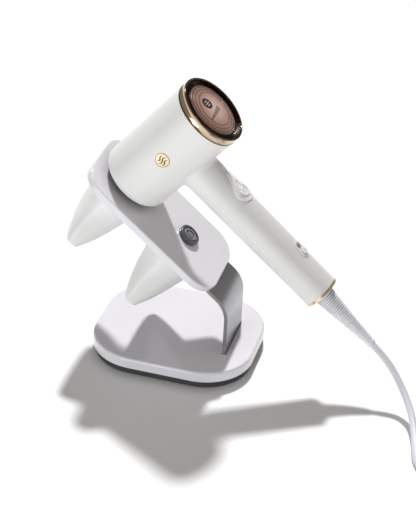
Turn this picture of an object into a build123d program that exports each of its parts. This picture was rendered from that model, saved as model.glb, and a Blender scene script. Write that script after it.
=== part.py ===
"""A handheld hair dryer standing on a tilted tabletop dock, with two nozzles hung under it.

Millimetres, +Z up.  The origin is the middle of the base's underside, on the table.  +X runs
along the base towards the arm's side, and the dock's plate leans down towards +X.
"""

import math
import os

from build123d import *

os.makedirs("parts", exist_ok=True)

# ---------------------------------------------------------------- driving dimensions

# stand
BASE_LENGTH = 166.0
BASE_WIDTH = 142.0
BASE_CORNER = 51.0
BASE_TOP = 20.0
COVER_BOTTOM = 9.0
COVER_WALL = 3.5
COVER_SKIN = 2.5
TRAY_INSET = 2.5
TRAY_BOTTOM = 1.5
TRAY_FLOOR = 3.0
TRAY_WALL = 2.5
PAD_INSET = 7.0
WEIGHT_T = 7.0
BOSS_X = 58.0
BOSS_Y = 40.0

# bent arm
ARM_OUTER_X = 57.2
ARM_T = 3.5
ARM_WIDTH = 61.6
ARM_BEND = 30.0
ARM_FOOT_END = 12.0
ARM_FLANGE_END = 68.0
SLOT_GAP = 0.6

# tilted plate
TILT = 40.1
PLATE_X = -22.0
PLATE_Z = 151.3
PLATE_LENGTH = 169.0
PLATE_WIDTH = 97.0
PLATE_CORNER = 26.0
PLATE_T = 8.0
PLATE_SKIN = 2.2
PLATE_WALL = 2.5
FRAME_T = 1.6
UNDER_T = 3.0
DOCK_AT = {"front": -44.5, "rear": 34.1}
PUCK_R = 11.2
PUCK_H = 4.9
SEAT_R = 26.0
SEAT_T = 1.4

# nozzles
COLLAR_R = 28.5
NOZZLE_WALL = 2.0
NOZZLE_AT = {"front": -43.9, "rear": 38.5}
NOZZLE_LENGTH = {"front": 64.0, "rear": 66.5}
MOUTH_THICK = 20.6
MOUTH_WIDE = 89.0

# dryer, heights are above the plate's top face along the barrel
DRYER_TURN = -1.4
MOUTH_H = 7.0
BARREL_R = 36.0
BARREL_WALL = 2.4
MOUTH_R = 33.5
LIP_R = 31.0
RING_H = 115.6
REAR_H = 124.6
DISPLAY_R = 28.0

# handle, distances are from the barrel's axis along the handle
HANDLE_H = 65.8
HANDLE_ROOT_R = 19.8
HANDLE_END_R = 18.8
HANDLE_END = 203.5
HANDLE_WALL = 2.2
NECK_FILLET = 5.0
BUTTON_AT = 77.8
BUTTON_R = 7.0
SWITCH_AT = 158.5
SWITCH_TRAVEL = 5.0

# cord
CORD_R = 3.5
COIL_X = 338.0
COIL_Y = -96.0
COIL_R = 40.0
COIL_PITCH = 7.2
COIL_LAYER = 7.1
COIL_LAYERS = 4
TIE_T = 1.0

BOTTOM = (Align.CENTER, Align.CENTER, Align.MIN)

# ---------------------------------------------------------------- planes

tilt = math.radians(TILT)
turn = math.radians(DRYER_TURN)
along = Vector(math.cos(tilt), 0, -math.sin(tilt))
normal = Vector(math.sin(tilt), 0, math.cos(tilt))
handle_dir = along * math.cos(turn) + Vector(0, 1, 0) * math.sin(turn)

plate = Plane(origin=(PLATE_X, 0, PLATE_Z), x_dir=along, z_dir=normal)
dock = {
    name: Plane(origin=plate.from_local_coords((s, 0, 0)), x_dir=along, z_dir=normal)
    for name, s in DOCK_AT.items()
}

hanger = {
    name: Plane(
        origin=plate.from_local_coords((s, 0, -PLATE_T)), x_dir=along, z_dir=normal * -1
    )
    for name, s in NOZZLE_AT.items()
}

# the barrel stands on the front dock; its section plane holds (radius, height)
barrel = Plane(origin=dock["front"].origin, x_dir=handle_dir, z_dir=normal)
section = Plane(origin=barrel.origin, x_dir=handle_dir, z_dir=handle_dir.cross(normal))
barrel_axis = Axis(barrel.origin, normal)

# the handle runs along its own z, with x towards the thumb side
handle = Plane(
    origin=barrel.from_local_coords((0, 0, HANDLE_H)), x_dir=normal, z_dir=handle_dir
)


def thumb_plane(distance):
    """A plane through the handle's axis whose z points out of the thumb side and whose x
    runs along the handle."""
    point = barrel.from_local_coords((distance, 0, HANDLE_H))
    return Plane(origin=point, x_dir=handle_dir, z_dir=normal)


def tube(plane, outer, inner, height):
    """A plain ring standing on a plane."""
    with BuildPart(plane) as piece:
        Cylinder(outer, height, align=BOTTOM)
        Cylinder(inner, height, align=BOTTOM, mode=Mode.SUBTRACT)
    return piece.part


def pan_screw(plane, head_r, head_h, shank_r, shank_l):
    """A pan-head screw: its head stands on the plane and its shank goes the other way."""
    with BuildPart(plane) as piece:
        Cylinder(head_r, head_h, align=BOTTOM)
        chamfer(faces().sort_by(Axis(plane.origin, plane.z_dir))[-1].edges(), head_h * 0.3)
        with Locations((0, 0, -shank_l)):
            Cylinder(shank_r, shank_l, align=BOTTOM)
    return piece.part


# ---------------------------------------------------------------- base

boss_spots = GridLocations(2 * BOSS_X, 2 * BOSS_Y, 2, 2)
cover_ceiling = BASE_TOP - COVER_SKIN
tray_top = COVER_BOTTOM
weight_bottom = TRAY_BOTTOM + TRAY_FLOOR
weight_top = weight_bottom + WEIGHT_T

with BuildPart() as base_cover:
    with BuildSketch(Plane.XY.offset(COVER_BOTTOM)):
        RectangleRounded(BASE_LENGTH, BASE_WIDTH, BASE_CORNER)
    extrude(amount=BASE_TOP - COVER_BOTTOM)
    fillet(edges().group_by(Axis.Z)[-1], 2.5)
    with BuildSketch(Plane.XY.offset(COVER_BOTTOM)):
        inset = 2 * COVER_WALL
        RectangleRounded(BASE_LENGTH - inset, BASE_WIDTH - inset, BASE_CORNER - COVER_WALL)
    extrude(amount=cover_ceiling - COVER_BOTTOM, mode=Mode.SUBTRACT)
    with BuildSketch(Plane.XY.offset(weight_bottom)):
        with boss_spots:
            Circle(4.0)
    extrude(amount=cover_ceiling - weight_bottom + 0.5)
    with BuildSketch(Plane.XY.offset(weight_bottom)):
        with boss_spots:
            Circle(1.5)
    extrude(amount=9.0, mode=Mode.SUBTRACT)
    with BuildSketch(Plane.XY.offset(cover_ceiling)):
        with Locations((ARM_OUTER_X - ARM_T / 2, 0)):
            Rectangle(ARM_T + 2 * SLOT_GAP, ARM_WIDTH + 2 * SLOT_GAP)
    extrude(amount=COVER_SKIN, mode=Mode.SUBTRACT)

with BuildPart() as base_tray:
    with BuildSketch(Plane.XY.offset(TRAY_BOTTOM)):
        inset = 2 * TRAY_INSET
        RectangleRounded(BASE_LENGTH - inset, BASE_WIDTH - inset, BASE_CORNER - TRAY_INSET)
    extrude(amount=tray_top - TRAY_BOTTOM)
    with BuildSketch(Plane.XY.offset(weight_bottom)):
        inset = 2 * (TRAY_INSET + TRAY_WALL)
        corner = BASE_CORNER - TRAY_INSET - TRAY_WALL
        RectangleRounded(BASE_LENGTH - inset, BASE_WIDTH - inset, corner)
    extrude(amount=tray_top - weight_bottom, mode=Mode.SUBTRACT)
    with BuildSketch(Plane.XY.offset(TRAY_BOTTOM)):
        with boss_spots:
            Circle(3.4)
    extrude(amount=1.8, mode=Mode.SUBTRACT)
    with BuildSketch(Plane.XY.offset(TRAY_BOTTOM)):
        with boss_spots:
            Circle(1.7)
    extrude(amount=TRAY_FLOOR, mode=Mode.SUBTRACT)

with BuildPart() as base_weight:
    with BuildSketch(Plane.XY.offset(weight_bottom)):
        inset = 2 * (TRAY_INSET + TRAY_WALL + 2.0)
        RectangleRounded(BASE_LENGTH - inset, BASE_WIDTH - inset, BASE_CORNER - inset / 2)
        with boss_spots:
            Circle(5.0, mode=Mode.SUBTRACT)
    extrude(amount=WEIGHT_T)
    chamfer(edges().group_by(Axis.Z)[-1], 0.4)
    with BuildSketch(Plane.XY.offset(weight_top)):
        with Locations((30, 0)):
            with GridLocations(18, 38, 2, 2):
                Circle(2.05)
    extrude(amount=-6.0, mode=Mode.SUBTRACT)

with BuildPart() as foot_pad:
    with BuildSketch():
        inset = 2 * PAD_INSET
        RectangleRounded(BASE_LENGTH - inset, BASE_WIDTH - inset, BASE_CORNER - PAD_INSET)
        with boss_spots:
            Circle(3.8, mode=Mode.SUBTRACT)
    extrude(amount=TRAY_BOTTOM)

base_screw_parts = []
for spot in boss_spots:
    spot_plane = Plane(origin=(spot.position.X, spot.position.Y, 3.3), z_dir=(0, 0, -1))
    base_screw_parts.append(pan_screw(spot_plane, 3.0, 1.6, 1.45, 8.0))
base_screws = Compound(children=base_screw_parts)

# ---------------------------------------------------------------- arm

flange_line = plate.offset(-PLATE_T - ARM_T / 2)
arm_x = ARM_OUTER_X - ARM_T / 2
foot_z = weight_top + ARM_T / 2
flange_end = flange_line.from_local_coords((ARM_FLANGE_END, 0, 0))
elbow_s = (arm_x - flange_line.origin.X) / along.X
elbow = flange_line.from_local_coords((elbow_s, 0, 0))
screw_s = 74.0

with BuildPart() as stand_arm:
    with BuildSketch(Plane.XZ):
        with BuildLine() as arm_line:
            FilletPolyline(
                (ARM_FOOT_END, foot_z),
                (arm_x, foot_z),
                (elbow.X, elbow.Z),
                (flange_end.X, flange_end.Z),
                radius=[4.0, ARM_BEND],
            )
        trace(line_width=ARM_T)
    extrude(amount=ARM_WIDTH / 2, both=True)
    foot_edges = edges().filter_by(Axis.Z).group_by(Axis.X)[0]
    fillet(foot_edges, 6.0)
    with BuildSketch(Plane.XY.offset(weight_top)):
        with Locations((30, 0)):
            with GridLocations(18, 38, 2, 2):
                Circle(2.3)
    extrude(amount=ARM_T, mode=Mode.SUBTRACT)
    with BuildSketch(plate.offset(-PLATE_T - ARM_T)):
        with Locations((screw_s, 0)):
            with GridLocations(10, 20, 1, 3):
                Circle(2.3)
    extrude(amount=ARM_T, mode=Mode.SUBTRACT)

foot_screw_parts = []
for spot in GridLocations(18, 38, 2, 2):
    head_plane = Plane.XY.offset(weight_top + ARM_T)
    head_plane.origin = head_plane.origin + Vector(30 + spot.position.X, spot.position.Y, 0)
    foot_screw_parts.append(pan_screw(head_plane, 3.8, 2.0, 2.0, ARM_T + 5.5))
arm_foot_screws = Compound(children=foot_screw_parts)

# ---------------------------------------------------------------- plate

with BuildPart() as plate_shell:
    with BuildSketch(plate.offset(-PLATE_T)):
        RectangleRounded(PLATE_LENGTH, PLATE_WIDTH, PLATE_CORNER)
    extrude(amount=PLATE_T)
    plate_axis = Axis(plate.origin, normal)
    fillet(faces().sort_by(plate_axis)[-1].edges(), 1.6)
    fillet(faces().sort_by(plate_axis)[0].edges(), 0.8)
    with BuildSketch(plate.offset(-PLATE_T)):
        inset = 2 * PLATE_WALL
        RectangleRounded(PLATE_LENGTH - inset, PLATE_WIDTH - inset, PLATE_CORNER - PLATE_WALL)
    extrude(amount=PLATE_T - PLATE_SKIN, mode=Mode.SUBTRACT)
    with BuildSketch(plate.offset(-PLATE_SKIN)):
        with Locations(*[(s, 0) for s in DOCK_AT.values()]):
            Circle(6.1)
    extrude(amount=PLATE_SKIN, mode=Mode.SUBTRACT)

with BuildPart() as plate_frame:
    with BuildSketch(plate.offset(-PLATE_SKIN - FRAME_T)):
        RectangleRounded(PLATE_LENGTH - 8, PLATE_WIDTH - 8, PLATE_CORNER - 4)
        with Locations(*[(s, 0) for s in DOCK_AT.values()]):
            Circle(1.7, mode=Mode.SUBTRACT)
        with Locations((screw_s, 0)):
            with GridLocations(10, 20, 1, 3):
                Circle(2.05, mode=Mode.SUBTRACT)
    extrude(amount=FRAME_T)

with BuildPart() as plate_cover:
    with BuildSketch(plate.offset(-PLATE_T)):
        inset = 2 * (PLATE_WALL + 0.15)
        corner = PLATE_CORNER - PLATE_WALL - 0.15
        RectangleRounded(PLATE_LENGTH - inset, PLATE_WIDTH - inset, corner)
    extrude(amount=UNDER_T)
    with BuildSketch(plate.offset(-PLATE_T)):
        with Locations(*[(s, 0) for s in NOZZLE_AT.values()]):
            Circle(SEAT_R + 0.1)
    extrude(amount=SEAT_T, mode=Mode.SUBTRACT)
    with BuildSketch(plate.offset(-PLATE_T)):
        with Locations((screw_s, 0)):
            with GridLocations(10, 20, 1, 3):
                Circle(2.3)
    extrude(amount=UNDER_T, mode=Mode.SUBTRACT)

top_screw_parts = []
for spot in GridLocations(10, 20, 1, 3):
    point = plate.from_local_coords((screw_s, spot.position.Y, -PLATE_T - ARM_T))
    head_plane = Plane(origin=point, x_dir=along, z_dir=normal * -1)
    top_screw_parts.append(pan_screw(head_plane, 3.6, 2.0, 2.0, ARM_T + UNDER_T + 2.6))
arm_top_screws = Compound(children=top_screw_parts)

# ---------------------------------------------------------------- docks


def dock_puck(plane):
    """The black puck that the dryer's hub stands on, with its ring groove and magnet pocket."""
    with BuildPart(plane) as puck:
        Cylinder(PUCK_R, PUCK_H, align=BOTTOM)
        top = faces().sort_by(Axis(plane.origin, normal))[-1]
        fillet(top.edges(), 1.0)
        with Locations((0, 0, -PLATE_SKIN)):
            Cylinder(6.0, PLATE_SKIN, align=BOTTOM)
        with Locations((0, 0, PUCK_H - 1.2)):
            Cylinder(8.3, 1.2, align=BOTTOM, mode=Mode.SUBTRACT)
        with Locations((0, 0, 0.7)):
            Cylinder(3.3, 3.0, align=BOTTOM, mode=Mode.SUBTRACT)
        with Locations((0, 0, -PLATE_SKIN)):
            Cylinder(1.45, 2.4, align=BOTTOM, mode=Mode.SUBTRACT)
    return puck.part


def pole_ring(plane):
    """The steel ring that sits in the puck's face round its magnet."""
    with BuildPart(plane.offset(PUCK_H - 1.2)) as ring:
        Cylinder(7.1, 1.2, align=BOTTOM)
        Cylinder(5.0, 1.2, align=BOTTOM, mode=Mode.SUBTRACT)
        outer = faces().sort_by(Axis(plane.origin, normal))[-1]
        chamfer(outer.edges(), 0.25)
    return ring.part


def dock_magnet(plane):
    """The disc magnet in the middle of a puck, with a small centre dimple."""
    with BuildPart(plane.offset(0.7)) as magnet:
        Cylinder(3.2, PUCK_H - 1.0, align=BOTTOM)
        with Locations((0, 0, PUCK_H - 1.5)):
            Cylinder(1.0, 0.5, align=BOTTOM, mode=Mode.SUBTRACT)
    return magnet.part


dock_pucks = {name: dock_puck(plane) for name, plane in dock.items()}
pole_rings = Compound(children=[pole_ring(plane) for plane in dock.values()])
dock_magnets = Compound(children=[dock_magnet(plane) for plane in dock.values()])

nozzle_seats = Compound(
    children=[tube(plane.offset(-SEAT_T), SEAT_R, 4.0, SEAT_T) for plane in hanger.values()]
)

dock_screw_parts = []
for plane in dock.values():
    head_plane = Plane(
        origin=plane.from_local_coords((0, 0, -PLATE_SKIN - FRAME_T)),
        x_dir=along,
        z_dir=normal * -1,
    )
    dock_screw_parts.append(pan_screw(head_plane, 2.8, 1.1, 1.4, FRAME_T + 2.2))
dock_screws = Compound(children=dock_screw_parts)

# ---------------------------------------------------------------- nozzles

# share of the length, thickness along the plate, width across it, squareness of the outline
NOZZLE_SECTIONS = [
    (0.0, 2 * COLLAR_R, 2 * COLLAR_R, 2.0),
    (0.125, 2 * COLLAR_R, 2 * COLLAR_R, 2.0),
    (0.375, 52.5, 63.0, 2.15),
    (0.69, 42.0, 77.0, 2.6),
    (1.0, MOUTH_THICK, MOUTH_WIDE, 3.6),
]
OUTLINE_POINTS = 40


def outline(thick, wide, squareness):
    """Points round an outline that runs from an ellipse, squareness 2, towards a rectangle."""
    points = []
    for i in range(OUTLINE_POINTS):
        angle = 2 * math.pi * i / OUTLINE_POINTS
        across = math.copysign(abs(math.cos(angle)) ** (2 / squareness), math.cos(angle))
        up = math.copysign(abs(math.sin(angle)) ** (2 / squareness), math.sin(angle))
        points.append((thick / 2 * across, wide / 2 * up))
    return points


def nozzle_solid(plane, length, shrink):
    """The nozzle's filled form, from the round collar to the wide mouth, drawn in by `shrink`."""
    with BuildPart() as form:
        for share, thick, wide, squareness in NOZZLE_SECTIONS:
            with BuildSketch(plane.offset(share * length)):
                with BuildLine():
                    points = outline(thick - 2 * shrink, wide - 2 * shrink, squareness)
                    Spline(*points, periodic=True)
                make_face()
        loft()
    return form.part


def nozzle_shell(name):
    """The thin white shell of a nozzle."""
    with BuildPart() as shell:
        add(nozzle_solid(hanger[name], NOZZLE_LENGTH[name], 0.0))
        add(nozzle_solid(hanger[name], NOZZLE_LENGTH[name], NOZZLE_WALL), mode=Mode.SUBTRACT)
    return shell.part


nozzle_shells = {name: nozzle_shell(name) for name in NOZZLE_AT}
nozzle_magnets = {
    name: tube(plane, COLLAR_R - NOZZLE_WALL - 0.2, 22.5, 2.5) for name, plane in hanger.items()
}

# ---------------------------------------------------------------- body shell

LIP_TOP = 18.0
PAD_R = 12.0
PAD_TIP_R = 1.8
PAD_TIP_AT = 55.8
PLATE_AT = 75.8
PLATE_RISE = 0.8
SWITCH_OVAL = (20.0, 11.0)
BADGE_R = 7.5
BADGE_DEPTH = 0.9


def pad_outline(grow):
    """The control plate's drop shape: round about the button, narrow towards the barrel."""
    with BuildSketch(thumb_plane(BUTTON_AT)) as drop:
        Circle(PAD_R + grow)
        with Locations((PAD_TIP_AT - BUTTON_AT, 0)):
            Circle(PAD_TIP_R + grow)
        make_hull()
    return drop.sketch


def handle_radius(distance):
    """The handle's outer radius at a distance from the barrel's axis."""
    return HANDLE_ROOT_R + (HANDLE_END_R - HANDLE_ROOT_R) * distance / HANDLE_END


# the badge sits on the barrel's near side, level with the handle
badge_plane = Plane(
    origin=handle.origin, x_dir=handle_dir, z_dir=handle_dir.cross(normal)
)

with BuildPart() as body_shell:
    with BuildSketch(section):
        with BuildLine():
            Line((0, MOUTH_H), (MOUTH_R, MOUTH_H))
            ThreePointArc(
                (MOUTH_R, MOUTH_H), (BARREL_R - 0.75, MOUTH_H + 2.6), (BARREL_R, MOUTH_H + 6)
            )
            Polyline((BARREL_R, MOUTH_H + 6), (BARREL_R, RING_H), (0, RING_H), (0, MOUTH_H))
        make_face()
    revolve(axis=barrel_axis)
    with BuildSketch(handle):
        Circle(HANDLE_ROOT_R)
    with BuildSketch(handle.offset(HANDLE_END)):
        Circle(HANDLE_END_R)
    loft()
    neck = [
        edge
        for edge in edges()
        if 20 < (edge.center() - barrel.origin).dot(handle_dir) < BARREL_R + 2
        and edge.length > 40
        and 20 < (edge.center() - barrel.origin).dot(normal) < 110
        and abs(edge.center().Y - barrel.origin.Y) < 30
    ]
    fillet(neck, NECK_FILLET)
    with BuildSketch(section):
        with BuildLine():
            Polyline(
                (0, MOUTH_H),
                (LIP_R, MOUTH_H),
                (LIP_R, LIP_TOP),
                (BARREL_R - BARREL_WALL, LIP_TOP + 2.6),
                (BARREL_R - BARREL_WALL, RING_H),
                (0, RING_H),
                close=True,
            )
        make_face()
    revolve(axis=barrel_axis, mode=Mode.SUBTRACT)
    with BuildSketch(handle.offset(BARREL_R - 8)):
        Circle(handle_radius(BARREL_R - 8) - HANDLE_WALL)
    with BuildSketch(handle.offset(HANDLE_END)):
        Circle(HANDLE_END_R - HANDLE_WALL)
    loft(mode=Mode.SUBTRACT)
    extrude(pad_outline(0.1), amount=30, dir=normal, mode=Mode.SUBTRACT)
    with BuildSketch(thumb_plane(SWITCH_AT)):
        SlotOverall(SWITCH_OVAL[0] + 0.2, SWITCH_OVAL[1] + 0.2)
    extrude(amount=30, mode=Mode.SUBTRACT)
    with BuildSketch(badge_plane.offset(BARREL_R - BADGE_DEPTH)):
        Circle(BADGE_R + 0.1)
    extrude(amount=5, mode=Mode.SUBTRACT)

with BuildPart(barrel) as badge:
    with Locations((0, 0, HANDLE_H)):
        Cylinder(BARREL_R + 0.35, 40)
    with BuildSketch(badge_plane.offset(BARREL_R - BADGE_DEPTH)):
        Circle(BADGE_R)
    extrude(amount=5, mode=Mode.INTERSECT)

# ---------------------------------------------------------------- outlet

HUB_R = 12.5
GRILLE_H = 8.0
GRILLE_T = 4.0
MAGNET_H = 14.0
DUCT_H = 17.0
SPOKES = 8

with BuildPart(barrel.offset(GRILLE_H)) as outlet_grille:
    Cylinder(LIP_R - 0.1, MAGNET_H - GRILLE_H, align=BOTTOM)
    Cylinder(LIP_R - 2.0, MAGNET_H - GRILLE_H, align=BOTTOM, mode=Mode.SUBTRACT)
    for radius in (16.5, 20.5, 24.5):
        with BuildSketch(barrel.offset(GRILLE_H)):
            Circle(radius + 0.6)
            Circle(radius - 0.6, mode=Mode.SUBTRACT)
        extrude(amount=GRILLE_T)
    with BuildSketch(barrel.offset(GRILLE_H)):
        with PolarLocations(LIP_R / 2 + 5, SPOKES):
            Rectangle(LIP_R - 12, 1.4)
        Circle(HUB_R - 1, mode=Mode.SUBTRACT)
    extrude(amount=GRILLE_T)
    with Locations((0, 0, PUCK_H - GRILLE_H)):
        Cylinder(HUB_R, 11.0, align=BOTTOM)
        Cylinder(10.1, 1.5, align=BOTTOM, mode=Mode.SUBTRACT)
    with Locations((0, 0, PUCK_H - GRILLE_H + 3.0)):
        Cylinder(HUB_R - 2.0, 8.0, align=BOTTOM, mode=Mode.SUBTRACT)

with BuildPart(barrel.offset(PUCK_H)) as hub_plate:
    Cylinder(10.0, 1.5, align=BOTTOM)

outlet_magnet = tube(barrel.offset(MAGNET_H), LIP_R - 0.1, LIP_R - 2.4, DUCT_H - MAGNET_H)

# ---------------------------------------------------------------- duct and heater

DUCT_R = 30.0
FAN_H = 72.0
SLEEVE_R = 27.4
HEATER_BOTTOM = 24.0
HEATER_TOP = 62.0
COIL_RINGS = 5
WIRE_R = 1.1

air_duct = tube(barrel.offset(DUCT_H), DUCT_R, DUCT_R - 1.5, FAN_H - DUCT_H)
heater_sleeve = tube(
    barrel.offset(HEATER_BOTTOM - 2), SLEEVE_R, SLEEVE_R - 0.8, HEATER_TOP - HEATER_BOTTOM + 4
)
ring_step = (HEATER_TOP - HEATER_BOTTOM - 8) / (COIL_RINGS - 1)
ring_heights = [HEATER_BOTTOM + 4 + ring_step * i for i in range(COIL_RINGS)]

with BuildPart(barrel.offset(HEATER_BOTTOM)) as heater_boards:
    Box(52.8, 1.0, HEATER_TOP - HEATER_BOTTOM, align=BOTTOM)
    Box(1.0, 52.8, HEATER_TOP - HEATER_BOTTOM, align=BOTTOM)
    for height in ring_heights:
        with Locations((0, 0, height - HEATER_BOTTOM)):
            Torus(22.0, WIRE_R + 0.15, mode=Mode.SUBTRACT)

coil_parts = []
for height in ring_heights:
    with BuildPart(barrel.offset(height)) as coil_ring:
        Torus(22.0, WIRE_R)
    coil_parts.append(coil_ring.part)
heater_coils = Compound(children=coil_parts)

with BuildPart(barrel.offset(HEATER_TOP)) as thermal_cutout:
    with Locations((15, 0, 0)):
        Box(8, 5, 4.5, align=BOTTOM)

# ---------------------------------------------------------------- fan and motor

FAN_R = 31.5
FAN_LENGTH = 25.0
HUB_OUTER = 16.0
HUB_INNER = 14.2
VANES = 9
BLADES = 11
SHAFT_R = 1.98
BEARING_R = 5.0
BLADE_BOTTOM = 15.5
BLADE_TOP = 23.0

fan_plane = barrel.offset(FAN_H)

with BuildPart(fan_plane) as fan_housing:
    Cylinder(FAN_R, FAN_LENGTH, align=BOTTOM)
    Cylinder(DUCT_R, FAN_LENGTH, align=BOTTOM, mode=Mode.SUBTRACT)
    with Locations((0, 0, 1)):
        Cylinder(HUB_OUTER, 13.0, align=BOTTOM)
        Cylinder(BEARING_R, 4.0, align=BOTTOM, mode=Mode.SUBTRACT)
    with Locations((0, 0, 5)):
        Cylinder(HUB_INNER, 9.0, align=BOTTOM, mode=Mode.SUBTRACT)
    with BuildSketch(fan_plane.offset(3)):
        with PolarLocations((HUB_OUTER + DUCT_R) / 2, VANES):
            Rectangle(DUCT_R - HUB_OUTER + 1.0, 1.4)
    extrude(amount=9)

motor_bearings = Compound(
    children=[
        tube(fan_plane.offset(1), BEARING_R, 2.03, 4.0),
        tube(fan_plane.offset(11.2), BEARING_R, 2.03, 2.6),
    ]
)
motor_end_plate = tube(fan_plane.offset(11.2), HUB_INNER, BEARING_R, 2.6)

with BuildPart(fan_plane.offset(5.3)) as motor_stator:
    Cylinder(HUB_INNER, 5.6, align=BOTTOM)
    Cylinder(11.6, 5.6, align=BOTTOM, mode=Mode.SUBTRACT)
    with BuildSketch(fan_plane.offset(5.3)):
        with PolarLocations(9.6, 6):
            Rectangle(4.6, 2.6)
    extrude(amount=5.6)

winding_parts = []
for i in range(6):
    with BuildPart(fan_plane.offset(5.5)) as winding:
        with PolarLocations(9.7, 1, start_angle=60 * i):
            Box(2.4, 4.6, 5.2, align=BOTTOM)
            Box(2.4, 2.7, 5.2, align=BOTTOM, mode=Mode.SUBTRACT)
    winding_parts.append(winding.part)
motor_windings = Compound(children=winding_parts)

rotor_magnet = tube(fan_plane.offset(5.6), 6.6, SHAFT_R, 5.0)

with BuildPart(fan_plane.offset(1.2)) as rotor_shaft:
    Cylinder(SHAFT_R, 21.5, align=BOTTOM)

with BuildPart(fan_plane.offset(BLADE_BOTTOM)) as impeller:
    Cone(13.4, 10.0, BLADE_TOP - BLADE_BOTTOM, align=BOTTOM)
    Cylinder(SHAFT_R, BLADE_TOP - BLADE_BOTTOM, align=BOTTOM, mode=Mode.SUBTRACT)
    with PolarLocations(19.5, BLADES):
        with Locations(Location((0, 0, 3.6), (38, 0, 0))):
            Box(19.0, 1.1, 8.0)
    with BuildSketch(fan_plane.offset(BLADE_BOTTOM)):
        Circle(DUCT_R - 0.7)
    extrude(amount=BLADE_TOP - BLADE_BOTTOM, mode=Mode.INTERSECT)

fan_isolators = Compound(
    children=[
        tube(fan_plane.offset(offset), BARREL_R - BARREL_WALL - 0.1, FAN_R, 4.0)
        for offset in (2.0, 19.0)
    ]
)

# ---------------------------------------------------------------- display and intake

CUP_R = 28.2
CUP_BOTTOM = 104.0
CUP_RIM = 121.2
DOME_RISE = 3.4
FRAME_RING = (33.4, 31.8)

with BuildPart(barrel.offset(CUP_BOTTOM)) as display_housing:
    Cylinder(CUP_R, CUP_RIM - CUP_BOTTOM, align=BOTTOM)
    chamfer(faces().sort_by(barrel_axis)[0].edges(), 4.0)
    with Locations((0, 0, 2.5)):
        Cylinder(CUP_R - 1.6, CUP_RIM - CUP_BOTTOM - 2.5, align=BOTTOM, mode=Mode.SUBTRACT)
    with Locations((0, 0, -3)):
        Cylinder(FRAME_RING[0], 10.0, align=BOTTOM)
        Cylinder(FRAME_RING[1], 10.0, align=BOTTOM, mode=Mode.SUBTRACT)
    with BuildSketch(barrel.offset(CUP_BOTTOM + 1)):
        with PolarLocations((CUP_R + FRAME_RING[1]) / 2, 6):
            Rectangle(FRAME_RING[1] - CUP_R + 1.2, 2.0)
    extrude(amount=5)

with BuildPart(barrel.offset(CUP_BOTTOM + 7)) as display_board:
    Cylinder(CUP_R - 3.0, 1.6, align=BOTTOM)
    with Locations((0, 0, 1.6)):
        Cylinder(22.0, 3.4, align=BOTTOM)

LENS_EDGE = 1.6
dome_radius = (DISPLAY_R**2 + DOME_RISE**2) / (2 * DOME_RISE)

with BuildPart(barrel.offset(CUP_RIM)) as display_lens:
    Cylinder(DISPLAY_R, LENS_EDGE + DOME_RISE + 0.5, align=BOTTOM)
    with Locations((0, 0, LENS_EDGE + DOME_RISE - dome_radius)):
        Sphere(dome_radius, mode=Mode.INTERSECT)
    Cylinder(DISPLAY_R - 3.0, 1.0, align=BOTTOM, mode=Mode.SUBTRACT)

LEDGE_H = 116.4
MESH_SLOTS = 48

with BuildPart() as filter_ring:
    with BuildSketch(section):
        with BuildLine():
            Polyline((32.4, RING_H - 4), (33.3, RING_H - 4), (33.3, RING_H), (36.4, RING_H))
            Line((36.4, RING_H), (36.4, RING_H + 1))
            ThreePointArc((36.4, RING_H + 1), (35.4, RING_H + 4.6), (36.1, REAR_H - 0.8))
            ThreePointArc((36.1, REAR_H - 0.8), (35.8, REAR_H - 0.2), (35.2, REAR_H))
            ThreePointArc((35.2, REAR_H), (34.5, REAR_H - 0.2), (34.2, REAR_H - 0.8))
            Polyline((34.2, REAR_H - 0.8), (34.2, LEDGE_H), (32.4, LEDGE_H), (32.4, RING_H - 4))
        make_face()
    revolve(axis=barrel_axis)

with BuildPart(barrel.offset(LEDGE_H)) as filter_mesh:
    Cylinder(34.2, 1.4, align=BOTTOM)
    Cylinder(DISPLAY_R + 0.7, 1.4, align=BOTTOM, mode=Mode.SUBTRACT)
    with BuildSketch(barrel.offset(LEDGE_H)):
        with PolarLocations((DISPLAY_R + 32.5) / 2 + 0.6, MESH_SLOTS):
            Rectangle(2.8, 1.5)
    extrude(amount=1.4, mode=Mode.SUBTRACT)

# ---------------------------------------------------------------- handle controls

BOARD_N = 8.0
BOARD_T = 1.6
BUTTON_BOTTOM = 14.2
BUTTON_TOP = 21.9
LIGHT_SPOTS = [(66.5, 0.0, 20.6), (79.0, -9.0, 18.5), (79.0, 9.0, 18.5)]
SLOT_SIZE = (15.0, 6.4)
KNOB_SIZE = (8.4, 6.0)

with BuildPart(handle.offset(PLATE_AT)) as control_plate:
    Cylinder(handle_radius(PLATE_AT) + PLATE_RISE, 60)
    Cylinder(handle_radius(PLATE_AT) - HANDLE_WALL, 60, mode=Mode.SUBTRACT)
    extrude(pad_outline(0.0), amount=40, dir=normal, mode=Mode.INTERSECT)
    fillet(faces().sort_by(Axis(handle.origin, normal))[-1].edges(), 0.5)
    with BuildSketch(thumb_plane(BUTTON_AT)):
        Circle(BUTTON_R + 0.3)
    extrude(amount=40, mode=Mode.SUBTRACT)
    for distance, side, _ in LIGHT_SPOTS:
        with BuildSketch(thumb_plane(distance)):
            with Locations((0, side)):
                Circle(0.95)
        extrude(amount=40, mode=Mode.SUBTRACT)

light_parts = []
for distance, side, top in LIGHT_SPOTS:
    with BuildPart(thumb_plane(distance).offset(top - 4.0)) as light:
        with Locations((0, side, 0)):
            Cylinder(0.9, 4.0, align=BOTTOM)
    light_parts.append(light.part)
status_lights = Compound(children=light_parts)

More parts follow.
